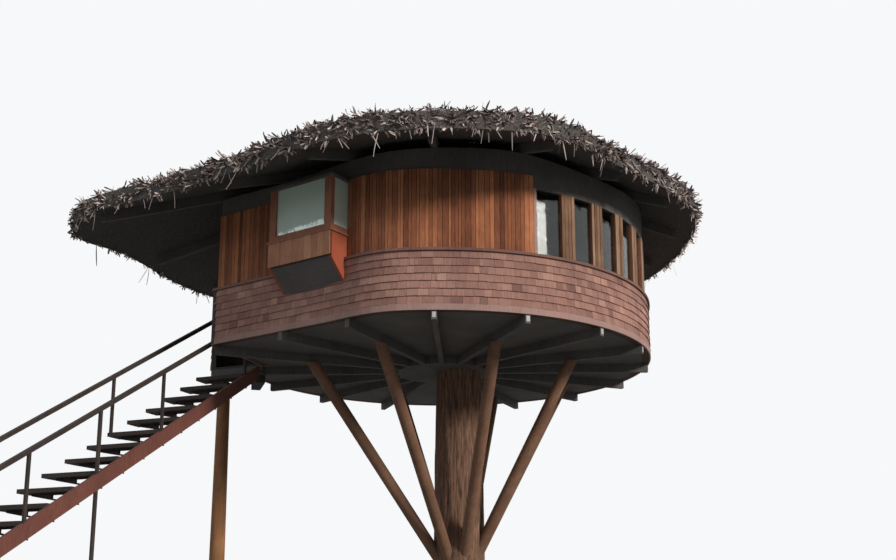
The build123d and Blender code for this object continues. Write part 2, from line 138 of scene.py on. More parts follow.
class SmoothRun:
    """Several runs end to end, eased where one turns into the next. It never goes behind them."""

    def __init__(self, runs, ease=0.45, step=0.02):
        corners = []
        for run in runs:
            count = math.ceil(run.length / step)
            corners += [run.place(run.length * i / count, 0.0, 0.0).to_2d() for i in range(count)]
        corners.append(runs[-1].place(runs[-1].length, 0.0, 0.0).to_2d())
        width = round(ease / step)
        self.points = self.eased(corners, width)
        ends = range(len(corners))
        self.outs = []
        for i in ends:
            along = self.points[min(i + 1, ends[-1])] - self.points[max(i - 1, 0)]
            self.outs.append(Vector((along.y, -along.x)).normalized())
        behind = [max(0.0, (corners[i] - self.points[i]).dot(self.outs[i])) for i in ends]
        lift = [max(behind[max(0, i - width):i + width + 1]) for i in ends]
        lift = self.eased(lift, width)
        self.points = [self.points[i] + self.outs[i] * lift[i] for i in ends]
        self.marks = [0.0]
        for i in ends[1:]:
            self.marks.append(self.marks[-1] + (self.points[i] - self.points[i - 1]).length)
        self.length = self.marks[-1]

    def eased(self, values, width):
        """Each value becomes the mean of its neighbours, with fewer of them near the ends."""
        eased = []
        for i in range(len(values)):
            w = min(width, i, len(values) - 1 - i)
            near = values[i - w:i + w + 1]
            eased.append(sum(near, 0.0 * values[0]) / len(near))
        return eased

    def place(self, run, out, z):
        i = min(max(bisect.bisect_right(self.marks, run) - 1, 0), len(self.marks) - 2)
        t = (run - self.marks[i]) / (self.marks[i + 1] - self.marks[i])
        p = self.points[i].lerp(self.points[i + 1], t) + self.outs[i].lerp(self.outs[i + 1], t) * out
        return Vector((p.x, p.y, z))


skirt_runs = {
    "outside": SmoothRun([FlatRun(corner_a, corner_t),
                          RoundRun(round_start, round_end, floor_radius)]),
    "stair_side": FlatRun(corner_c, corner_a),
}

# %% [markdown]
# The parapet of the landing is clad like the skirt, on its two outer sides. Its corners are the
# points that reach furthest across the stair and up it.

# %% Runs of the landing
parapet = [v.co.to_2d() for v in nodes["landing_parapet"].data.vertices]
parapet_foot = max(parapet, key=lambda p: p.dot(stair_across - stair_up))
parapet_corner = max(parapet, key=lambda p: p.dot(stair_across + stair_up))
uphill = max(p.dot(stair_up) for p in parapet)
far_face = [p for p in parapet if p.dot(stair_up) > uphill - 0.01]
parapet_end = min(far_face, key=lambda p: p.dot(stair_across))
skirt_runs["landing_side"] = FlatRun(parapet_corner, parapet_foot)
skirt_runs["landing_back"] = FlatRun(parapet_end, parapet_corner)
print("runs", {name: round(run.length, 2) for name, run in skirt_runs.items()})

# %% [markdown]
# Hundreds of shingles are one joined mesh, made from arrays of corners. Each board is a closed
# box of eight corners, with its own grain in the UV map and its own shade in an attribute.


# %% Joined meshes
CORNERS = [(0, 0, 0), (1, 0, 0), (1, 1, 0), (0, 1, 0), (0, 0, 1), (1, 0, 1), (1, 1, 1), (0, 1, 1)]
BOX_FACES = [(0, 3, 2, 1), (4, 5, 6, 7), (0, 1, 5, 4), (1, 2, 6, 5), (2, 3, 7, 6), (3, 0, 4, 7)]


class Pile:
    """Collects many small closed shapes and turns them into one mesh."""

    def __init__(self):
        self.points = []
        self.faces = []
        self.uvs = []
        self.tones = []

    def add(self, points, faces, grain, tone):
        first = len(self.points)
        self.points += [tuple(p) for p in points]
        self.faces += [tuple(first + i for i in face) for face in faces]
        self.uvs += grain
        self.tones += [tone] * len(points)

    def board(self, corners, grain_size, tone, rng):
        """A box from its eight corners, ordered as CORNERS: across, along the grain, outwards."""
        du = rng.random() * 40.0
        dv = rng.random() * 40.0
        grain = [(du + c[0] * grain_size[0] + 0.3 * c[2] * grain_size[2], dv + c[1] * grain_size[1])
                 for c in CORNERS]
        self.add(corners, BOX_FACES, grain, tone)

    def piece(self, name, slot):
        mesh = bpy.data.meshes.new(name)
        mesh.from_pydata(self.points, [], self.faces)
        tone = mesh.attributes.new("tone", "FLOAT", "POINT")
        tone.data.foreach_set("value", self.tones)
        layer = mesh.uv_layers.new(name="grain")
        loops = np.zeros(len(mesh.loops), int)
        mesh.loops.foreach_get("vertex_index", loops)
        layer.data.foreach_set("uv", np.array(self.uvs, float)[loops].ravel())
        mesh.polygons.foreach_set("use_smooth", [False] * len(mesh.polygons))
        mesh.update()
        piece = bpy.data.objects.new(name, mesh)
        bpy.context.scene.collection.objects.link(piece)
        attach(piece, "root")
        print(name, len(mesh.polygons), "faces")
        return piece


def run_board(pile, run, s0, s1, z0, z1, face, tone, rng, head=None, back=0.0):
    """A board on a run, from s0 to s1 and z0 to z1, with its face that far out of the wall. At
    its head the face may be further in."""
    corners = []
    for across, along, out in CORNERS:
        s = s1 if across else s0
        z = z1 if along else z0
        front = head if along and head is not None else face
        corners.append(run.place(s, front if out else back, z))
    pile.board(corners, (s1 - s0, z1 - z0, 0.02), tone, rng)


def tone_near(middle, spread, rng):
    """A random tone around a middle one, kept between 0 and 1."""
    return min(1.0, max(0.0, middle + rng.gauss(0.0, spread)))


def clad(prefix, runs, first_seed, lay, slot):
    """One joined mesh for each run, laid by a function, with a seed of its own."""
    pieces = []
    for seed, (name, run) in enumerate(runs.items(), first_seed):
        pile = Pile()
        lay(pile, run, random.Random(seed))
        pieces.append(pile.piece(prefix + name, slot))
    return pieces


# %% [markdown]
# The skirt is clad in seven courses of wooden shingles over a plain fascia board. Each shingle
# is thick at its butt and thin at its head, where the next course laps over it. Widths vary
# as split shingles do, so no two joints line up by rule.

# %% Shingles of the skirt
fascia_height = 0.09
shingle_courses = 7
shingle_widths = (0.07, 0.19)
shingle_butt = 0.024
shingle_head = 0.004
shingle_uneven = 0.004
shingle_joint = 0.0012
shingle_lap = 0.025
shingle_tone_spread = 0.09
odd_share = 0.04
odd_tones = (0.2, 0.8)
course_shade = 0.06
sliver = 0.02
course = (skirt_top - skirt_bottom - fascia_height) / shingle_courses


def lay_shingles(pile, run, rng):
    for row in range(shingle_courses):
        z0 = skirt_bottom + fascia_height + row * course
        z1 = min(z0 + course + shingle_lap, skirt_top)
        s = 0.0
        shade = rng.uniform(-course_shade, course_shade)
        while s < run.length - sliver:
            width = rng.uniform(*shingle_widths)
            if run.length - (s + width) < shingle_widths[0]:
                width = run.length - s
            drop = rng.uniform(-shingle_uneven, shingle_uneven)
            tone = tone_near(0.5 + shade, shingle_tone_spread, rng)
            if rng.random() < odd_share:
                tone = rng.choice(odd_tones)
            butt = shingle_butt + rng.uniform(-shingle_uneven, shingle_uneven)
            run_board(pile, run, s + shingle_joint, s + width - shingle_joint, z0 + drop, z1,
                      butt, tone, rng, head=shingle_head)
            s += width


shingles = clad("shingles_", skirt_runs, 11, lay_shingles, "shingle_wall")

# %% [markdown]
# The fascia is a row of long boards under the lowest course. On a curve each board is cut into
# ten short boxes that keep one tone.

# %% Fascia board under the shingles
fascia_length = 1.9
fascia_thickness = 0.024
fascia_drop = 0.006
fascia_bends = 10


def lay_fascia(pile, run, rng):
    boards = max(1, round(run.length / fascia_length))
    steps = 1 if isinstance(run, FlatRun) else fascia_bends
    for i in range(boards):
        tone = rng.uniform(0.35, 0.65)
        for k in range(steps):
            s0 = run.length * (i + k / steps) / boards
            s1 = run.length * (i + (k + 1) / steps) / boards
            run_board(pile, run, s0, s1, skirt_bottom - fascia_drop, skirt_bottom + fascia_height,
                      fascia_thickness, tone, rng)


fascias = clad("fascia_", skirt_runs, 31, lay_fascia, "trim_timber")

# %% [markdown]
# A thin strip caps the skirt. It stands out over the shingles, so it casts a dark line on them.

# %% Cap strip
cap_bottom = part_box("skirt_cap")[0].z
cap_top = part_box("skirt_cap")[1].z
cap_back = -0.02
cap_nose = 0.040
cap_step = 0.16
cap_drop = 0.006
cap_rise = 0.004
cap_tone = 0.45


def lay_cap(pile, run, rng):
    """The strip along one run, in short lengths that follow the wall."""
    steps = math.ceil(run.length / cap_step)
    for k in range(steps):
        run_board(pile, run, run.length * k / steps, run.length * (k + 1) / steps,
                  cap_bottom - cap_drop, cap_top + cap_rise, cap_nose, cap_tone, rng, back=cap_back)


caps = clad("cap_", skirt_runs, 41, lay_cap, "trim_timber")

# %% [markdown]
# The upper walls are vertical planks with open joints. They stand on the cap of the skirt and
# end under the head of the wall, and every plank differs a little in width and colour.

# %% Planks of the upper walls
plank_widths = (0.04, 0.09)
plank_thickness = 0.018
plank_uneven = 0.003
plank_joint = 0.003
plank_tone_spread = 0.17


def lay_planks(pile, run, rng):
    s = 0.0
    while s < run.length - sliver:
        width = rng.uniform(*plank_widths)
        if run.length - (s + width) < plank_widths[0]:
            width = run.length - s
        face = plank_thickness + rng.uniform(-plank_uneven, plank_uneven)
        tone = tone_near(0.5, plank_tone_spread, rng)
        run_board(pile, run, s + plank_joint, s + width - plank_joint, wall_bottom, wall_top,
                  face, tone, rng)
        s += width


def span(node, origin, direction):
    """Least and greatest distance of a node's points from an origin along a plan direction."""
    marks = [(v.co.x - origin.x) * direction.x + (v.co.y - origin.y) * direction.y
             for v in nodes[node].data.vertices]
    return min(marks), max(marks)


wall_radius = floor_radius - wall_setback
wall_corner_a = furthest("plank_wall_front_left", (-1.0, 0.0, 0.0))
wall_corner_t = furthest("plank_wall_front_left", (0.0, -1.0, 0.0))
wall_corner_c = furthest("plank_wall_stair_side", along_stair_wall)
flat_wall = FlatRun(wall_corner_a, wall_corner_t)
bay_from, bay_to = span("bay_front_panel", flat_wall.start, flat_wall.along)
left_of_bay = FlatRun(wall_corner_a, flat_wall.place(bay_from, 0.0, 0.0))
right_of_bay = FlatRun(flat_wall.place(bay_to, 0.0, 0.0), wall_corner_t)


def azimuth_groups(node, gap):
    """Azimuths that a round node covers, as spans parted by more than a gap in degrees."""
    angles = sorted(azimuth(v.co) for v in nodes[node].data.vertices)
    groups = [[angles[0], angles[0]]]
    for angle in angles[1:]:
        if angle - groups[-1][1] > gap:
            groups.append([angle, angle])
        groups[-1][1] = angle
    return groups


pier_gap = 5.0
between_bands = 40.0
piers = azimuth_groups("window_posts", pier_gap)
front_piers = [pier for pier in piers if pier[1] < between_bands]
back_piers = [pier for pier in piers if pier[0] > between_bands]
band_start, band_end = front_piers[0][0], front_piers[-1][1]
back_band_start, back_band_end = back_piers[0][0], back_piers[-1][1]
print("window piers", [(round(a, 1), round(b, 1)) for a, b in piers])
plank_runs = {
    "left_of_bay": left_of_bay,
    "front": SmoothRun([right_of_bay, RoundRun(azimuth(wall_corner_t), band_start, wall_radius)]),
    "back_right": RoundRun(band_end, back_band_start, wall_radius),
    "back_left": RoundRun(back_band_end, round_end, wall_radius),
    "stair_side": FlatRun(wall_corner_c, wall_corner_a),
}
planks = clad("planks_", plank_runs, 51, lay_planks, "plank_wall")

# %% [markdown]
# The bay window has an apron of ten narrow planks under its sill. They hang from the sill and
# follow the front panel of the frame.

# %% Apron of the bay window
bay_out = span("bay_front_panel", flat_wall.start, flat_wall.out)[1]
bay_front = FlatRun(flat_wall.place(bay_from, bay_out, 0.0), flat_wall.place(bay_to, bay_out, 0.0))
apron_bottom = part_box("bay_front_panel")[0].z
apron_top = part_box("bay_front_panel")[1].z
apron_planks = 10
apron_thickness = 0.014
apron_joint = 0.002
apron_drop = 0.012
apron_tone_spread = 0.2


def even_boards(pile, run, count, joint, z0, z1, thickness, tone_spread, rng):
    """Upright boards of one width that fill a run from end to end."""
    for i in range(count):
        face = thickness + rng.uniform(-plank_uneven, plank_uneven)
        tone = 0.5 + rng.gauss(0.0, tone_spread)
        run_board(pile, run, run.length * i / count + joint, run.length * (i + 1) / count - joint,
                  z0, z1, face, tone, rng)


pile = Pile()
even_boards(pile, bay_front, apron_planks, apron_joint, apron_bottom - apron_drop, apron_top,
            apron_thickness, apron_tone_spread, random.Random(71))
bay_apron = pile.piece("bay_apron", "plank_wall")

# %% [markdown]
# The piers between the windows are clad with narrow grooved boards, and a pale strip trims the
# end of the plank wall where the windows begin.

# %% Boards on the window piers
pier_board_width = 0.062
pier_board_thickness = 0.016
pier_groove = 0.003
pier_tone_spread = 0.15
window_trim_thickness = 0.028
window_trim_tones = (0.6, 0.8)
window_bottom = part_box("window_posts")[0].z
window_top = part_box("window_posts")[1].z
rng = random.Random(73)
pile = Pile()
trims = Pile()
for start, end in piers:
    run = RoundRun(start, end, wall_radius)
    if run.length < 2 * pier_board_width:
        run_board(trims, run, 0.0, run.length, window_bottom, window_top,
                  window_trim_thickness, rng.uniform(*window_trim_tones), rng)
        continue
    even_boards(pile, run, round(run.length / pier_board_width), pier_groove, window_bottom,
                window_top, pier_board_thickness, pier_tone_spread, rng)
pier_boards = pile.piece("pier_boards", "trim_timber")
window_trims = trims.piece("window_trims", "trim_timber")

# %% [markdown]
# The roof is one thick mass of dry leaves. The frame holds its body; what makes it read as
# thatch is its surface: overlapping leaves in rows up the slope, and a ragged fringe of old
# leaves hanging over the eave. The eave is read back from the frame's roof node: its upright
# faces are the edge of the thatch, and the highest points on them are the top of that edge.

# %% The eave, read from the roof
roof = nodes["thatch_roof"].data
peak_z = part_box("thatch_roof")[1].z
thatch_thickness = 0.26
least_reach = 4.0
upright_slope = 0.3
side_by_side = 1.0
same_level = 0.02
edge = set()
for face in roof.polygons:
    upright = abs(face.normal.z) < upright_slope
    if upright and reach(face.center) > least_reach:
        for i in face.vertices:
            p = roof.vertices[i].co
            edge.add((azimuth(p), reach(p), p.z))
edge = np.array(sorted(edge))
top_edge = []
for point in edge:
    near = np.abs((edge[:, 0] - point[0] + 180.0) % 360.0 - 180.0) < side_by_side
    if point[2] > edge[near, 2].max() - same_level:
        top_edge.append(point)
marks, reaches, heights = np.array(top_edge).T
reaches = np.interp(range(360), marks, reaches, period=360.0)
heights = np.interp(range(360), marks, heights, period=360.0)
eave_table = [(float(out), float(z)) for out, z in zip(reaches, heights)]


def eave_at(degrees):
    """Reach of the eave from the middle of the floor, and the height of its top edge."""
    degree = math.floor(degrees)
    a = eave_table[degree % 360]
    b = eave_table[(degree + 1) % 360]
    t = degrees - degree
    return a[0] + (b[0] - a[0]) * t, a[1] + (b[1] - a[1]) * t


def roof_point(degrees, share, lift=0.0):
    """Point on top of the thatch, share 0 at the peak and 1 at the eave."""
    out, z = eave_at(degrees)
    point = polar(degrees, out * share)
    point.z = peak_z + (z - peak_z) * share + lift
    return point


print("eave reach", round(min(reaches), 2), "to", round(max(reaches), 2))

# %% [markdown]
# One dry leaf is a narrow strip with three sides, so that it is closed. It has only eleven faces,
# because thousands of them follow.

# %% A dry leaf
LEAF_SECTIONS = ((0.0, 0.7), (0.35, 1.0), (0.7, 0.9), (1.0, 0.5))
LEAF_FACES = [(0, 2, 1), (9, 10, 11)]
for k in (0, 3, 6):
    for i in range(3):
        j = (i + 1) % 3
        LEAF_FACES.append((k + i, k + j, k + 3 + j, k + 3 + i))


def leaf(pile, base, direction, up, length, width, curl, twist, tone, thick=0.004):
    """A closed strip with four sections. It curls towards its face and twists on its way."""
    side = direction.cross(up).normalized()
    middle = base
    last = 0.0
    points = []
    grain = []
    for t, share in LEAF_SECTIONS:
        middle = middle + direction * (length * (t - last))
        normal = side.cross(direction).normalized()
        half = side * (0.5 * width * share)
        points += [middle - half, middle + half, middle + normal * thick]
        v = 10.0 * tone + length * t
        grain += [(0.0, v), (width * share, v), (0.5 * width, v)]
        last = t
        direction = Matrix.Rotation(curl, 3, side) @ direction
        side = Matrix.Rotation(twist, 3, direction) @ side
    pile.add(points, LEAF_FACES, grain, tone)


def leaf_tone(rng):
    """Old leaves are dark, dull or bleached, with few in between."""
    return tone_near(rng.choice((0.18, 0.45, 0.6, 0.85)), 0.07, rng)


# %% [markdown]
# The fringe is the most visible part of the roof. It is made of clumps: a handful of short
# leaves that share a direction and curl each their own way. The clumps cover the edge of the
# thatch from its top to its underside, and a few long straws hang free below it.

# %% Fringe of the eave
fringe_parts = {"front": (-150.0, -60.0), "right": (-60.0, 30.0), "back": (30.0, 120.0),
                "left": (120.0, 210.0)}
clump_spacing = 0.018
leaves_per_clump = 6
leaf_lengths = (0.07, 0.17)
leaf_widths = (0.018, 0.042)
slope_share = 0.4
slope_depth = 0.085
edge_margins = (0.01, 0.04)
straw_share = 0.09
straw_lengths = (0.15, 0.42)
straw_widths = (0.010, 0.020)
above = Vector((0.0, 0.0, 1.0))


def outwards_at(degrees):
    """Direction square to the eave, in plan, seen from above."""
    step = roof_point(degrees + 1.5, 1.0) - roof_point(degrees - 1.5, 1.0)
    return Vector((step.y, -step.x, 0.0)).normalized()


def fringe_run(name, start, end, seed):
    rng = random.Random(seed)
    pile = Pile()
    degrees = start
    while degrees < end:
        degrees += math.degrees(clump_spacing / eave_at(degrees)[0]) * rng.uniform(0.6, 1.4)
        outwards = outwards_at(degrees)
        along = Vector((-outwards.y, outwards.x, 0.0))
        on_slope = rng.random() < slope_share
        if on_slope:
            clump = roof_point(degrees, 1.0 - slope_depth * rng.random(), 0.015)
            fall = rng.uniform(-0.15, 0.25)
        else:
            clump = roof_point(degrees, 1.0) - outwards * 0.02
            clump.z -= edge_margins[0] + (thatch_thickness - edge_margins[1]) * rng.random()
            fall = rng.uniform(-0.3, 1.2)
        lean = rng.gauss(0.0, 1.2)
        for i in range(leaves_per_clump):
            direction = (outwards * rng.uniform(0.3, 0.8) + along * (lean + rng.gauss(0.0, 0.5))
                         - above * (fall + rng.gauss(0.0, 0.25))).normalized()
            base = clump + along * rng.uniform(-0.05, 0.05) + above * rng.uniform(-0.02, 0.02)
            curl = rng.uniform(-0.25, 0.25) if on_slope else rng.uniform(-0.6, 0.3)
            leaf(pile, base, direction, above + outwards * 0.7, rng.uniform(*leaf_lengths),
                 rng.uniform(*leaf_widths), curl, rng.uniform(-0.6, 0.6), leaf_tone(rng))
        if rng.random() < straw_share:
            direction = (outwards * rng.uniform(-0.2, 0.4) + along * rng.gauss(0.0, 0.3)
                         - above).normalized()
            leaf(pile, clump - above * 0.05, direction, outwards, rng.uniform(*straw_lengths),
                 rng.uniform(*straw_widths), rng.uniform(-0.15, 0.15), 0.2, rng.uniform(0.55, 0.95))
    return pile.piece(name, "thatch")


fringes = [fringe_run("eave_fringe_" + name, start, end, seed)
           for seed, (name, (start, end)) in enumerate(fringe_parts.items(), 81)]

# %% [markdown]
# Longer leaves lie in rows up the slope. They keep close to the surface of the thatch, so that
# the roof keeps the form that the frame gives it.

# %% Rows of leaves on the roof
cover_rng = random.Random(91)
cover_rows = 16
cover_lengths = (0.40, 0.62)
cover_widths = (0.035, 0.062)
cover_thickness = 0.006
cover_pitch = 0.047
cover_lift = 0.002
eave_round = 30.0
cover = Pile()
for row in range(cover_rows):
    share = 0.97 - 0.93 * row / cover_rows
    count = int(eave_round * share / cover_pitch)
    for i in range(count):
        degrees = -180.0 + 360.0 * (i + cover_rng.random()) / count
        foot = max(0.03, share - 0.075 + cover_rng.uniform(-0.015, 0.015))
        base = roof_point(degrees, foot, cover_lift)
        slope = (roof_point(degrees, 1.0) - roof_point(degrees, 0.5)).normalized()
        turn = Matrix.Rotation(cover_rng.gauss(0.0, 0.16), 3, "Z")
        direction = (turn @ slope + above * cover_rng.uniform(0.0, 0.03)).normalized()
        tone = tone_near(0.5, 0.22, cover_rng)
        leaf(cover, base, direction, above, cover_rng.uniform(*cover_lengths),
             cover_rng.uniform(*cover_widths), cover_rng.uniform(-0.02, 0.02),
             cover_rng.uniform(-0.1, 0.1), tone, cover_thickness)
roof_leaves = cover.piece("roof_leaves", "thatch")

# %% [markdown]
# The bole is a living trunk with stringy bark. A cylinder is added with many sides, cut into
# rings, pulled to the frame's profile, and its bark is raised by noise stretched along it.

# %% Bark of the bole
bole_sides = 120
bole_rings = 150
bark_ridges = 0.011
bark_lumps = 0.010
root_flutes = 5
flute_depth = 0.035
flute_height = 0.8
bole_points = sorted((v.co.z, math.hypot(v.co.x, v.co.y)) for v in nodes["tree_bole"].data.vertices
                     if math.hypot(v.co.x, v.co.y) > 0.05)
bole_heights = [p[0] for p in bole_points]
bole_radii = [p[1] for p in bole_points]
bole_top = bole_heights[-1]
bpy.ops.object.select_all(action="DESELECT")
bpy.ops.mesh.primitive_cylinder_add(vertices=bole_sides, radius=1.0, depth=bole_top,
                                    location=(0.0, 0.0, bole_top / 2))
bole_bark = bpy.context.object
bole_bark.name = "bole_bark"
bpy.ops.object.mode_set(mode="EDIT")
for ring in range(1, bole_rings):
    bpy.ops.mesh.select_all(action="SELECT")
    bpy.ops.mesh.bisect(plane_co=(0.0, 0.0, bole_top * ring / bole_rings), plane_no=(0.0, 0.0, 1.0))
bpy.ops.object.mode_set(mode="OBJECT")
bpy.ops.object.transform_apply(location=True, rotation=True, scale=True)
for v in bole_bark.data.vertices:
    angle = math.atan2(v.co.y, v.co.x)
    radius = float(np.interp(v.co.z, bole_heights, bole_radii))
    around = Vector((math.cos(angle) * 9.0, math.sin(angle) * 9.0, v.co.z * 1.1))
    ridge = noise.noise(around) + 0.6 * noise.noise(around * 2.3 + Vector((5.0, 1.0, 3.0)))
    lump = noise.noise(Vector((math.cos(angle) * 1.5, math.sin(angle) * 1.5, v.co.z * 0.6)))
    flute = math.cos(root_flutes * angle + 0.7) * max(0.0, 1.0 - v.co.z / flute_height)
    radius += bark_ridges * ridge + bark_lumps * lump + flute_depth * flute
    v.co.x = math.cos(angle) * radius
    v.co.y = math.sin(angle) * radius
bpy.ops.object.shade_smooth()
bole_bark.data.update()
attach(bole_bark, "root")
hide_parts("tree_bole")
print("bark", len(bole_bark.data.polygons), "faces")

# %% [markdown]
# The rail posts of the stair are slender. Each one is a copy of the frame's post, drawn in towards
# its own middle, so that it keeps its place on the stringer or on its tread.

# %% Slender rail posts
post_share = 0.58
post_reach = 0.012
same_post = 0.2
bpy.ops.object.select_all(action="DESELECT")
rail_posts = nodes["rail_posts"].copy()
rail_posts.data = nodes["rail_posts"].data.copy()
rail_posts.name = "slender_rail_posts"
bpy.context.scene.collection.objects.link(rail_posts)
bpy.context.view_layer.objects.active = rail_posts
rail_posts.select_set(True)
bpy.ops.object.mode_set(mode="EDIT")
bpy.ops.mesh.select_all(action="SELECT")
bpy.ops.mesh.remove_doubles(threshold=0.0002)
bpy.ops.object.mode_set(mode="OBJECT")
posts = {}
for v in rail_posts.data.vertices:
    home = next((key for key in posts if math.dist(key, v.co.xy) < same_post), None)
    if home is None:
        home = (v.co.x, v.co.y)
        posts[home] = []
    posts[home].append(v)
for members in posts.values():
    middle = sum((v.co for v in members), Vector()) / len(members)
    for v in members:
        v.co.x = middle.x + (v.co.x - middle.x) * post_share
        v.co.y = middle.y + (v.co.y - middle.y) * post_share
        v.co.z += math.copysign(post_reach, v.co.z - middle.z)
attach(rail_posts, "root")
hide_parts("rail_posts")
print("rail posts", len(posts))

# %% [markdown]
# Under each tread is a tapered bracket: a level arm, a raking arm and an opening between them.
# One bracket is modelled on its own. A plane is cut down to its outline, the opening is cut out of
# it, and it is pulled to its thickness. Then it is copied under every tread.

# %% Stair brackets
bracket_root = 0.175
bracket_tip = 0.03
bracket_thickness = 0.045
bracket_arm = 0.024
opening_share = 0.60
next_seat = 0.2
bracket_points = sorted((v.co.copy() for v in nodes["tread_brackets"].data.vertices),
                        key=lambda p: p.to_2d().dot(stair_up))
seats = [[bracket_points[0]]]
for p in bracket_points[1:]:
    if (p - seats[-1][-1]).to_2d().dot(stair_up) > next_seat:
        seats.append([])
    seats[-1].append(p)
reach_across = [p.to_2d().dot(stair_across) for p in bracket_points]
bracket_length = max(reach_across) - min(reach_across)
bpy.ops.object.select_all(action="DESELECT")
bpy.ops.mesh.primitive_plane_add(size=1.0, location=(0.0, 0.0, 0.0))
bracket = bpy.context.object
bpy.ops.object.mode_set(mode="EDIT")
bpy.ops.mesh.select_mode(type="FACE")
bpy.ops.transform.resize(value=(bracket_length, bracket_root, 1.0))
bpy.ops.transform.translate(value=(bracket_length / 2, -bracket_root / 2, 0.0))
bpy.ops.mesh.bisect(plane_co=(0.0, -bracket_root, 0.0), clear_outer=True,
                    plane_no=(bracket_root - bracket_tip, -bracket_length, 0.0))
bpy.ops.mesh.select_all(action="SELECT")
bpy.ops.mesh.bisect(plane_co=(opening_share * bracket_length, 0.0, 0.0), plane_no=(1.0, 0.0, 0.0))
bpy.ops.mesh.select_all(action="DESELECT")
bpy.ops.object.mode_set(mode="OBJECT")
for face in bracket.data.polygons:
    face.select = face.center.x < opening_share * bracket_length
bpy.ops.object.mode_set(mode="EDIT")
bpy.ops.mesh.inset(thickness=bracket_arm)
bpy.ops.mesh.delete(type="ONLY_FACE")
bpy.ops.object.mode_set(mode="OBJECT")
body = bracket.modifiers.new("thickness", "SOLIDIFY")
body.thickness = bracket_thickness
body.offset = 0.0
bpy.ops.object.modifier_apply(modifier="thickness")
copies = []
for seat in seats:
    middle = 0.5 * (seat[0] + seat[-1]).to_2d().dot(stair_up)
    copy = bracket.copy()
    copy.data = bracket.data.copy()
    bpy.context.scene.collection.objects.link(copy)
    for v in copy.data.vertices:
        plan = stair_across * (min(reach_across) + v.co.x) + stair_up * (middle + v.co.z)
        v.co = (plan.x, plan.y, max(p.z for p in seat) + v.co.y)
    copies.append(copy)
bpy.ops.object.select_all(action="DESELECT")
for copy in copies:
    copy.select_set(True)
bpy.context.view_layer.objects.active = copies[0]
bpy.ops.object.join()
bpy.data.objects.remove(bracket)
pierced_brackets = copies[0]
pierced_brackets.name = "pierced_brackets"
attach(pierced_brackets, "root")
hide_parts("tread_brackets")
print("brackets", len(seats), "faces", len(pierced_brackets.data.polygons))

# %% [markdown]
# Pale end plates show where the radial joists come out under the skirt. The outermost points of
# each joist in the frame say where its end is and which way it faces.

# %% Joist end plates
plate_size = (0.056, 0.085)
plate_thickness = 0.006
plate_tones = (0.5, 0.8)
joist_spacing = 22.5
outer_joist = 3.2
tip_depth = 0.012
joist_points = [v.co for v in nodes["radial_joists"].data.vertices]
joist_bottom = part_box("radial_joists")[0].z
joist_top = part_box("radial_joists")[1].z
rng = random.Random(101)
pile = Pile()
joist_ends = {}
for p in joist_points:
    if reach(p) > outer_joist:
        joist_ends.setdefault(round(azimuth(p) / joist_spacing), []).append(p)
for members in joist_ends.values():
    end = max(reach(p) for p in members)
    tips = [p for p in members if reach(p) > end - tip_depth]
    middle = sum((p.xy for p in tips), Vector((0.0, 0.0))) / len(tips)
    corner = max(tips, key=lambda p: (p.xy - middle).length).xy
    half = (corner - middle).normalized() * 0.5 * plate_size[0]
    if half.cross(middle - Vector((centre_x, 0.0))) > 0:
        half = -half
    z0 = 0.5 * (joist_bottom + joist_top - plate_size[1])
    plate = FlatRun(middle - half, middle + half)
    run_board(pile, plate, 0.0, plate.length, z0, z0 + plate_size[1], plate_thickness,
              rng.uniform(*plate_tones), rng)
joist_plates = pile.piece("joist_end_plates", "frame_timber")
print("joist ends", len(joist_ends))

# %% [markdown]
# Every finish is a node material. A small class builds one up, so that each finish reads as a
# list of what it is made of. The struts all lean, and their grain has to lean with them.

# %% Lean of the struts
strut_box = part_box("struts")
strut_head = 0.5 * (strut_box[1].x - strut_box[0].x)
strut_foot = 0.4
strut_slope = math.atan2(strut_box[1].z - strut_box[0].z, strut_head - strut_foot)
strut_lean = (math.cos(strut_slope), math.sin(strut_slope))
print("struts lean at", round(math.degrees(strut_slope), 1), "degrees")


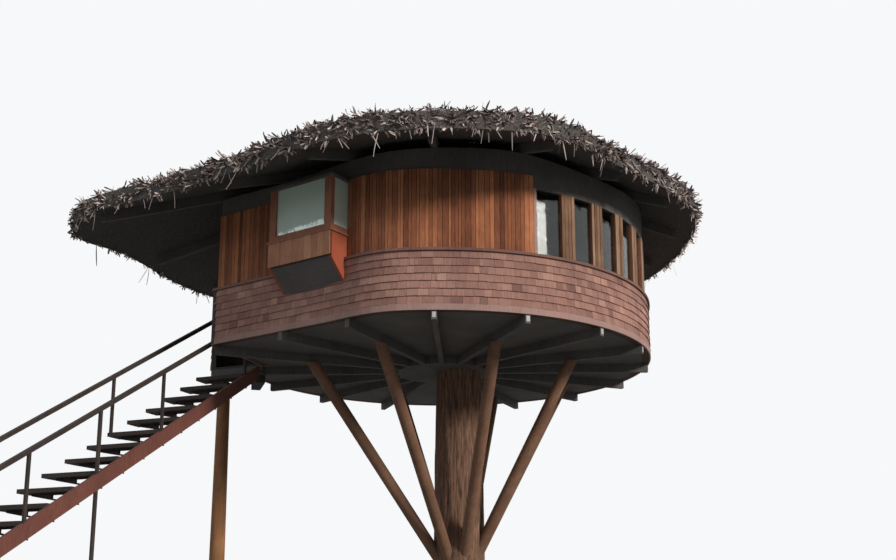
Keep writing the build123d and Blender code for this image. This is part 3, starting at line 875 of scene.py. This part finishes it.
# %% Helpers for materials
class Finish:
    """A node material that is built up from left to right."""

    def __init__(self, name, roughness, specular):
        self.material = bpy.data.materials.new(name)
        self.material.use_nodes = True
        self.tree = self.material.node_tree
        self.surface = self.tree.nodes["Principled BSDF"]
        self.fill(self.surface, {"Roughness": roughness, "Specular IOR Level": specular})

    def node(self, kind, **settings):
        node = self.tree.nodes.new(kind)
        for name, value in settings.items():
            setattr(node, name, value)
        return node

    def fill(self, node, values):
        """Fills a node's inputs. A value that is another node's output is linked."""
        for name, value in values.items():
            if isinstance(value, bpy.types.NodeSocket):
                self.tree.links.new(value, node.inputs[name])
            else:
                node.inputs[name].default_value = value

    def place(self, scale, source="Object"):
        """Object coordinates, or those of a UV map, stretched by a scale along each axis."""
        mapping = self.node("ShaderNodeMapping")
        if source == "Object":
            point = self.node("ShaderNodeTexCoord").outputs["Object"]
        else:
            point = self.node("ShaderNodeUVMap", uv_map=source).outputs["UV"]
        self.fill(mapping, {"Vector": point, "Scale": scale})
        return mapping.outputs["Vector"]

    def along_struts(self, scale):
        """Coordinates that run along the struts, which all lean out from the bole."""
        point = self.node("ShaderNodeSeparateXYZ")
        self.fill(point, {"Vector": self.node("ShaderNodeTexCoord").outputs["Object"]})
        x, y, z = point.outputs["X"], point.outputs["Y"], point.outputs["Z"]
        out, up = strut_lean
        radius = self.combine(self.combine(self.times(x, x), self.times(y, y)), 0.5, "POWER")
        around = self.times(self.combine(y, x, "ARCTAN2"), radius)
        along = self.combine(self.times(radius, out), self.times(z, up))
        across = self.combine(self.times(radius, up), self.times(z, -out))
        joined = self.node("ShaderNodeCombineXYZ")
        self.fill(joined, {"X": self.times(around, scale[0]), "Y": self.times(across, scale[1]),
                           "Z": self.times(along, scale[2])})
        return joined.outputs["Vector"]

    def noise(self, place, scale, detail, roughness=0.55, distortion=0.0):
        node = self.node("ShaderNodeTexNoise")
        self.fill(node, {"Vector": place, "Scale": scale, "Detail": detail,
                         "Roughness": roughness, "Distortion": distortion})
        return node.outputs["Fac"]

    def attribute(self, name):
        return self.node("ShaderNodeAttribute", attribute_name=name).outputs["Fac"]

    def ramp(self, value, *stops):
        """Colours by value. Each stop is a position and a colour."""
        node = self.node("ShaderNodeValToRGB")
        elements = node.color_ramp.elements
        while len(elements) < len(stops):
            elements.new(0.5)
        for element, (position, colour) in zip(elements, stops):
            element.position = position
            element.color = (*colour, 1.0)
        self.fill(node, {"Fac": value})
        return node.outputs["Color"]

    def spread(self, value, low, high, to_low, to_high):
        """A value from one range carried over to another, and held inside it."""
        node = self.node("ShaderNodeMapRange")
        self.fill(node, {"Value": value, "From Min": low, "From Max": high, "To Min": to_low,
                         "To Max": to_high})
        return node.outputs["Result"]

    def combine(self, a, b, operation="ADD"):
        """Two values added up, or put together by another operation."""
        node = self.node("ShaderNodeMath", operation=operation)
        self.fill(node, {0: a, 1: b})
        return node.outputs["Value"]

    def times(self, a, b):
        return self.combine(a, b, "MULTIPLY")

    def blend(self, share, below, above):
        node = self.node("ShaderNodeMix", data_type="RGBA")
        self.fill(node, {"Factor": share, "A": below, "B": above})
        return node.outputs["Result"]

    def bump(self, height, distance, strength):
        node = self.node("ShaderNodeBump")
        self.fill(node, {"Distance": distance, "Strength": strength, "Height": height})
        self.fill(self.surface, {"Normal": node.outputs["Normal"]})

    def colour(self, value):
        self.fill(self.surface, {"Base Color": value})
        return self.material


# %% [markdown]
# Wood needs three things: grain that runs along each board, a shade of its own for each board,
# and soft weathering over the whole wall. New boards carry their grain in a UV map and their
# shade in an attribute. The frame's own pieces have neither, so on them the grain follows Object
# coordinates.

# %% Wood
across_grain = 14.0


def wood(name, dark, middle, light, source="Object", tone=True):
    """Weathered wood in three tones. The grain runs upright, or follows the boards' own UV map
    or the struts."""
    finish = Finish(name, 0.75, 0.25)
    if source == "strut":
        grain_place = finish.along_struts((across_grain, across_grain, 1.0))
    elif source == "grain":
        grain_place = finish.place((across_grain, 1.0, 1.0), source)
    else:
        grain_place = finish.place((across_grain, across_grain, 1.0))
    grain = finish.noise(grain_place, 4.5, 6.0, 0.6, 0.4)
    fine = finish.noise(grain_place, 16.0, 3.0, 0.5)
    patch = finish.noise(finish.place((1.0, 1.0, 1.0)), 1.6, 3.0)
    grain_shade = finish.spread(grain, 0.3, 0.7, -0.16, 0.16)
    patch_shade = finish.spread(patch, 0.3, 0.7, -0.14, 0.14)
    shade = finish.combine(grain_shade, patch_shade)
    shade = finish.combine(shade, finish.attribute("tone") if tone else 0.5)
    base = finish.ramp(shade, (0.05, dark), (0.5, middle), (0.95, light))
    streaks = finish.spread(fine, 0.55, 0.75, 0.0, 0.45)
    base = finish.blend(streaks, base, (*(0.45 * c for c in dark), 1.0))
    finish.bump(finish.combine(grain, fine), 0.003, 0.6)
    return finish.colour(base)


# %% [markdown]
# Each wood of the house has three colours: dark, middle and light.

# %% Woods
shingle_wood = wood("weathered shingle", (0.15, 0.08, 0.07), (0.28, 0.15, 0.122),
                    (0.42, 0.24, 0.19), "grain")
plank_wood = wood("oiled plank", (0.10, 0.038, 0.024), (0.27, 0.10, 0.05),
                  (0.52, 0.21, 0.10), "grain")
apron_wood = wood("bay plank", (0.19, 0.09, 0.055), (0.35, 0.165, 0.10),
                  (0.48, 0.25, 0.16), "grain")
pier_wood = wood("grooved pier board", (0.08, 0.045, 0.03), (0.21, 0.12, 0.075),
                 (0.38, 0.25, 0.17), "grain")
trim_wood = wood("pale trim", (0.20, 0.125, 0.11), (0.31, 0.195, 0.172),
                 (0.42, 0.28, 0.25), "grain")
cap_wood = wood("cap strip", (0.10, 0.055, 0.048), (0.19, 0.105, 0.09),
                (0.30, 0.18, 0.15), "grain")
plate_wood = wood("pale end grain", (0.22, 0.21, 0.20), (0.38, 0.37, 0.36),
                  (0.55, 0.54, 0.52), "grain")
frame_wood = wood("window timber", (0.14, 0.055, 0.034), (0.27, 0.115, 0.072),
                  (0.38, 0.17, 0.11), tone=False)
# Timbers under the floor and roof: dark grey-brown, partly their own colour and partly painted
# shade.
underside_shade_wood = wood("dark timber", (0.05, 0.045, 0.044), (0.105, 0.095, 0.092),
                 (0.17, 0.154, 0.148), tone=False)
side_wood = wood("red cedar side", (0.18, 0.045, 0.024), (0.30, 0.075, 0.04),
                 (0.38, 0.12, 0.065), tone=False)
# Stair timber: near black as painted shade of the treads' undersides and brackets; the stringer of
# the same wood is red-brown.
stair_shade_wood = wood("stair timber", (0.018, 0.014, 0.013), (0.042, 0.032, 0.029),
                  (0.08, 0.06, 0.052), tone=False)
stringer_wood = wood("red brown stringer", (0.07, 0.028, 0.022), (0.135, 0.052, 0.040),
                     (0.20, 0.085, 0.062), tone=False)
# Landing timber: near black as painted shade under the floor.
landing_shade_wood = wood("landing timber", (0.02, 0.019, 0.018), (0.04, 0.037, 0.034),
                 (0.075, 0.068, 0.06), tone=False)
inner_wood = wood("inner wall board", (0.03, 0.018, 0.014), (0.075, 0.042, 0.03),
                  (0.13, 0.075, 0.05), tone=False)
log_wood = wood("log post", (0.10, 0.05, 0.026), (0.22, 0.105, 0.05),
                (0.37, 0.185, 0.09), tone=False)
strut_wood = wood("strut log", (0.06, 0.034, 0.024), (0.16, 0.086, 0.055),
                  (0.34, 0.18, 0.11), "strut", tone=False)
print("woods", len(bpy.data.materials))

# %% [markdown]
# Bark, leaves, thatch and glass are each a finish of their own. Bark is noise stretched along the
# bole. A dry leaf takes its shade from its tone. The packed thatch is darker than the leaves, as
# painted shade under the roof. The glass of the bay window mirrors a little of what is around it,
# and its pale colour is a painted reflection of the sky. The windows of the room are clear.


# %% Bark, thatch and glass
def bark_finish():
    finish = Finish("stringy bark", 0.9, 0.15)
    strips = finish.noise(finish.place((9.0, 9.0, 0.8)), 3.0, 8.0, 0.65, 0.7)
    fine = finish.noise(finish.place((30.0, 30.0, 2.0)), 3.0, 4.0, 0.6)
    height = finish.combine(strips, finish.times(fine, 0.4))
    base = finish.ramp(height, (0.45, (0.032, 0.021, 0.016)), (0.65, (0.125, 0.071, 0.049)),
                       (0.9, (0.28, 0.16, 0.11)))
    finish.bump(height, 0.02, 0.9)
    return finish.colour(base)


def leaf_finish():
    finish = Finish("dry leaf", 0.75, 0.2)
    patch = finish.noise(finish.place((1.0, 1.0, 1.0)), 1.3, 3.0)
    fibre = finish.noise(finish.place((200.0, 3.0, 1.0), "grain"), 1.0, 2.0)
    shade = finish.combine(finish.attribute("tone"), finish.spread(patch, 0.3, 0.7, -0.15, 0.15))
    shade = finish.combine(shade, finish.spread(fibre, 0.3, 0.7, -0.1, 0.1))
    base = finish.ramp(shade, (0.1, (0.05, 0.038, 0.036)), (0.45, (0.22, 0.168, 0.155)),
                       (0.7, (0.44, 0.36, 0.335)), (1.0, (0.70, 0.62, 0.59)))
    finish.bump(fibre, 0.001, 0.5)
    return finish.colour(base)


def thatch_finish():
    finish = Finish("packed thatch", 0.95, 0.1)
    strands = finish.noise(finish.place((18.0, 18.0, 18.0)), 2.0, 6.0, 0.65, 0.5)
    # Dark grey, darker than the leaves on the roof: painted shade under the roof.
    base = finish.ramp(strands, (0.3, (0.055, 0.049, 0.046)), (0.6, (0.12, 0.110, 0.104)),
                       (0.85, (0.22, 0.203, 0.19)))
    finish.bump(strands, 0.03, 0.9)
    return finish.colour(base)


def glass_finish(name, dark, light, mirror):
    """Glass that mirrors a little of what stands around it. Its pale colour, in patches, is a
    painted reflection of the sky.
    """
    finish = Finish(name, 0.05, 1.0)
    painted_sky_patches = finish.noise(finish.place((1.0, 1.0, 0.6)), 1.8, 2.0)
    base = finish.ramp(painted_sky_patches, (0.3, dark), (0.7, light))
    finish.fill(finish.surface, {"Metallic": mirror})
    return finish.colour(base)


def clear_glass(name, colour):
    """Plain glass, through which the dark room and the windows behind it show."""
    finish = Finish(name, 0.02, 0.5)
    finish.fill(finish.surface, {"Transmission Weight": 1.0, "IOR": 1.45})
    return finish.colour((*colour, 1.0))


bark = bark_finish()
dry_leaf = leaf_finish()
packed_thatch_shaded = thatch_finish()
# The bay glass has a pale aqua base colour: a painted reflection of the sky over a weak real mirror.
bay_pane = glass_finish("bay glass", (0.62, 0.76, 0.68), (0.74, 0.88, 0.80), 0.25)
band_pane = clear_glass("window glass", (0.80, 0.88, 0.84))

# %% [markdown]
# Each node of the frame gets its finish by name. The walls behind the new boards only show from
# inside, so they all take the finish of the inner walls.

# %% Which finish goes where
node_finishes = [
    (underside_shade_wood, "bay_underside bay_head floor_deck joist_hub landing_joists radial_joists "
                "rafter_ring rafters wall_plate window_heads"),
    (frame_wood, "bay_sill bay_posts door_jambs door_lintel window_posts"),
    (landing_shade_wood, "corner_board landing_beams landing_deck landing_parapet"),
    (stair_shade_wood, "handrails rail_posts stair_pole tread_brackets treads"),
    (plank_wood, "bay_front_panel"), (side_wood, "bay_sides"), (cap_wood, "skirt_cap"),
    (log_wood, "log_post"), (strut_wood, "struts"), (stringer_wood, "stringer"),
    (packed_thatch_shaded, "thatch_roof"), (bark, "tree_bole"), (bay_pane, "bay_glass"),
    (band_pane, "window_glass"),
]
finish_of = {name: material for material, names in node_finishes for name in names.split()}
added_finishes = [
    (shingles, shingle_wood), (fascias, trim_wood), (caps, cap_wood), (planks, plank_wood),
    ([bay_apron], apron_wood), ([pier_boards], pier_wood), ([window_trims], trim_wood),
    ([joist_plates], plate_wood), ([rail_posts, pierced_brackets], stair_shade_wood),
    (fringes + [roof_leaves], dry_leaf), ([bole_bark], bark),
]
for pieces, material in added_finishes:
    for piece in pieces:
        piece.data.materials.clear()
        piece.data.materials.append(material)
for name, node in nodes.items():
    material = finish_of.get(name, inner_wood)
    if not node.data.materials:
        node.data.materials.append(material)
    for i in range(len(node.data.materials)):
        node.data.materials[i] = material

# %% [markdown]
# The house stands on a plain pale floor. To the camera alone the floor is paler and glows a
# little, so that it looks bright and throws little light up at the house.

# %% Floor
bpy.ops.object.select_all(action="DESELECT")
bpy.ops.mesh.primitive_plane_add(size=400.0, location=(0.0, 0.0, 0.0))
floor = bpy.context.object
floor.name = "studio_floor"
floor_finish = Finish("studio floor", 0.9, 0.1)
seen_floor = floor_finish.node("ShaderNodeLightPath").outputs["Is Camera Ray"]
floor_finish.fill(floor_finish.surface, {"Emission Color": (0.24, 0.24, 0.24, 1.0),
                                         "Emission Strength": seen_floor})
floor.data.materials.append(floor_finish.colour(
    floor_finish.blend(seen_floor, (0.30, 0.31, 0.30, 1.0), (0.50, 0.50, 0.49, 1.0))))

# %% [markdown]
# The world gives the house a weak even light. What the camera sees, straight, in a mirror or
# through glass, is a near white background of strength 1.

# %% World
world = bpy.data.worlds.new("studio")
bpy.context.scene.world = world
world.use_nodes = True
tree = world.node_tree
background = tree.nodes["Background"]
background.inputs["Strength"].default_value = 0.38
background.inputs["Color"].default_value = (1.0, 1.0, 1.0, 1.0)
seen = tree.nodes.new("ShaderNodeBackground")
seen.inputs["Color"].default_value = (0.93, 0.94, 0.95, 1.0)
paths = tree.nodes.new("ShaderNodeLightPath")
seen_share = paths.outputs["Is Camera Ray"]
for ray in ("Is Glossy Ray", "Is Transmission Ray"):
    either = tree.nodes.new("ShaderNodeMath")
    either.operation = "MAXIMUM"
    tree.links.new(seen_share, either.inputs[0])
    tree.links.new(paths.outputs[ray], either.inputs[1])
    seen_share = either.outputs["Value"]
mix = tree.nodes.new("ShaderNodeMixShader")
tree.links.new(seen_share, mix.inputs["Fac"])
tree.links.new(background.outputs["Background"], mix.inputs[1])
tree.links.new(seen.outputs["Background"], mix.inputs[2])
tree.links.new(mix.outputs["Shader"], tree.nodes["World Output"].inputs["Surface"])

# %% [markdown]
# Two lamps light the house: a soft sun from the right of the camera, and a wide weak lamp from
# the left that fills the shade. The sun stays out of reflections, where it would be a bright spot.


# %% Lamps
def lamp(name, kind, location, target, energy, colour):
    """A lamp at a place, turned towards a target."""
    data = bpy.data.lights.new(name, kind)
    data.energy = energy
    data.color = colour
    lamp = bpy.data.objects.new(name, data)
    bpy.context.scene.collection.objects.link(lamp)
    lamp.location = location
    lamp.rotation_euler = (Vector(target) - Vector(location)).to_track_quat("-Z", "Y").to_euler()
    return lamp


key = lamp("key", "SUN", (41.0, -28.0, 23.0), (0.0, 0.0, 6.0), 3.4, (1.0, 0.96, 0.90))
key.data.angle = math.radians(10.0)
key.visible_glossy = False
fill = lamp("fill", "AREA", (-32.0, -32.0, 24.0), (0.0, 0.0, 5.0), 2600.0, (0.90, 0.94, 1.0))
fill.data.size = 24.0
print("lamps", key.name, fill.name)

# %% [markdown]
# The camera stands a little above the ground in front of the house and looks up at it. One camera
# was found that fits the room, the roof and the stair together.

# %% Camera
camera_tilt = 12.07
camera_turn = 1.95
camera_data = bpy.data.cameras.new("camera")
camera_data.lens = 44.75
camera_data.sensor_width = 36.0
camera_data.shift_y = 0.12
camera_data.clip_end = 800.0
camera = bpy.data.objects.new("camera", camera_data)
bpy.context.scene.collection.objects.link(camera)
camera.location = (0.456, -18.965, 1.126)
camera.rotation_euler = (math.radians(90.0 + camera_tilt), 0.0, math.radians(camera_turn))
bpy.context.scene.camera = camera
bpy.context.scene.view_settings.view_transform = "Standard"
